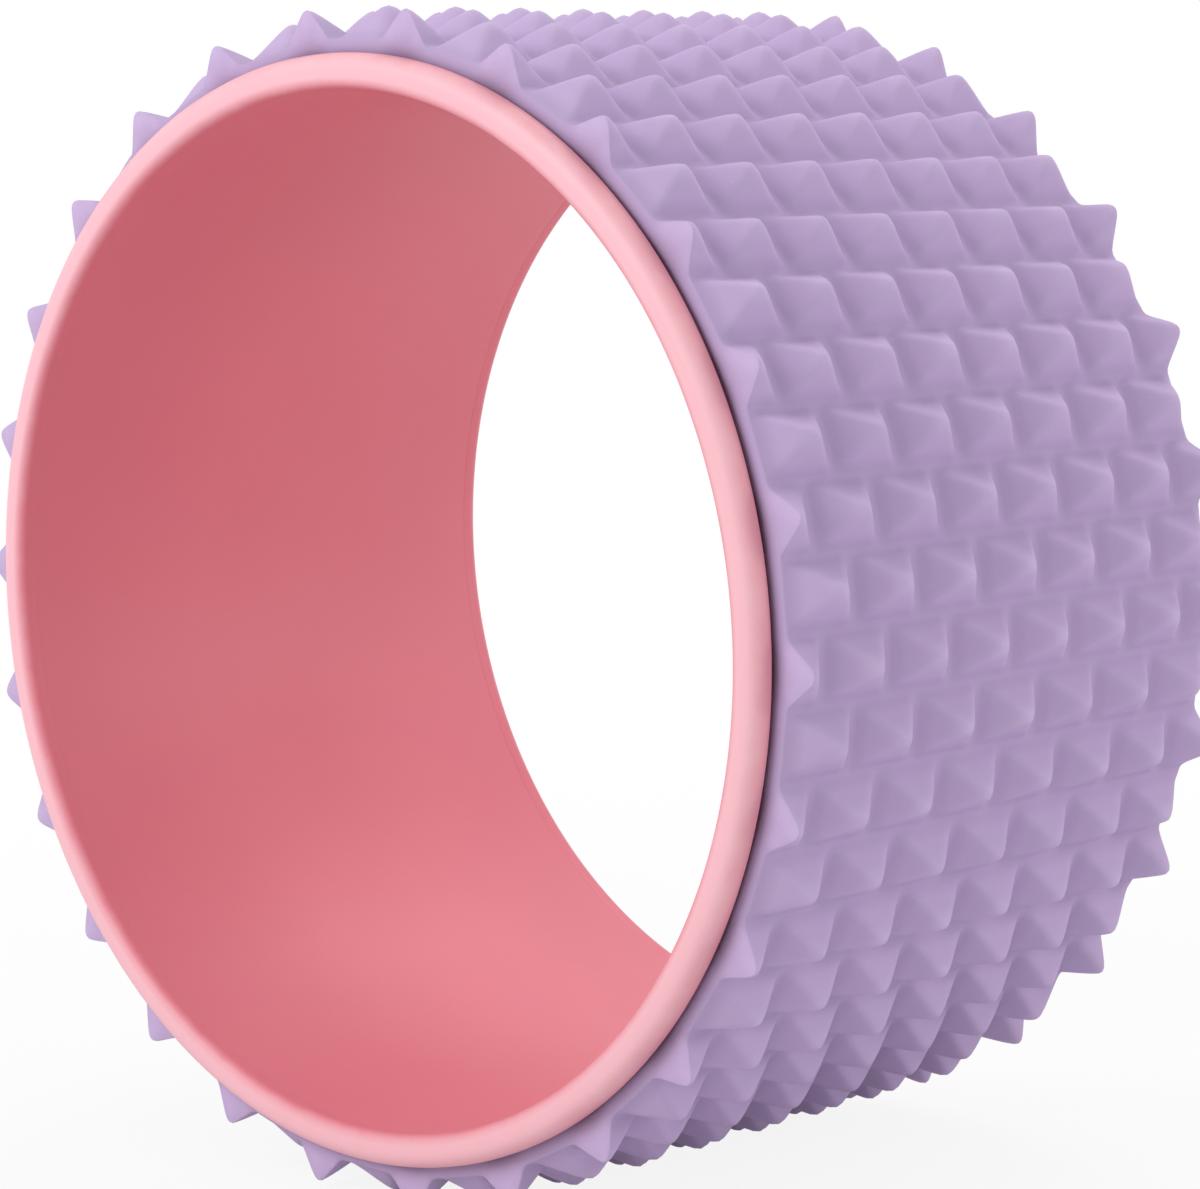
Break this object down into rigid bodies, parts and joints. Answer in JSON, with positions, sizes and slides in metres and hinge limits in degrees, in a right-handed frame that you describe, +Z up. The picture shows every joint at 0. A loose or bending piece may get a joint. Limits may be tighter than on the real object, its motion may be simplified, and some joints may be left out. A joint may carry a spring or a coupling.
{
  "type": "yoga wheel",
  "caption": "Wide yoga wheel: a smooth rigid plastic hoop with rounded end rims and a foam cover of blunt pyramid massage studs for rolling the back.",
  "frame": {"origin": "centre of the wheel, on its axis and midway between the two rims", "axes": "+Y along the wheel's axis from the front rim to the rear rim, +Z up as the wheel stands on its studs"},
  "size_m": [0.3256, 0.187, 0.3256],
  "materials": {
    "hoop_plastic": "satin moulded plastic",
    "cover_foam": "matt closed-cell foam",
    "bond_glue": "dull cured glue"
  },
  "bodies": {
    "root": {"core_tube": "hoop_plastic", "front_rim": "hoop_plastic", "rear_rim": "hoop_plastic", "cover_bond": "bond_glue", "studded_cover": "cover_foam"}
  },
  "joints": []
}
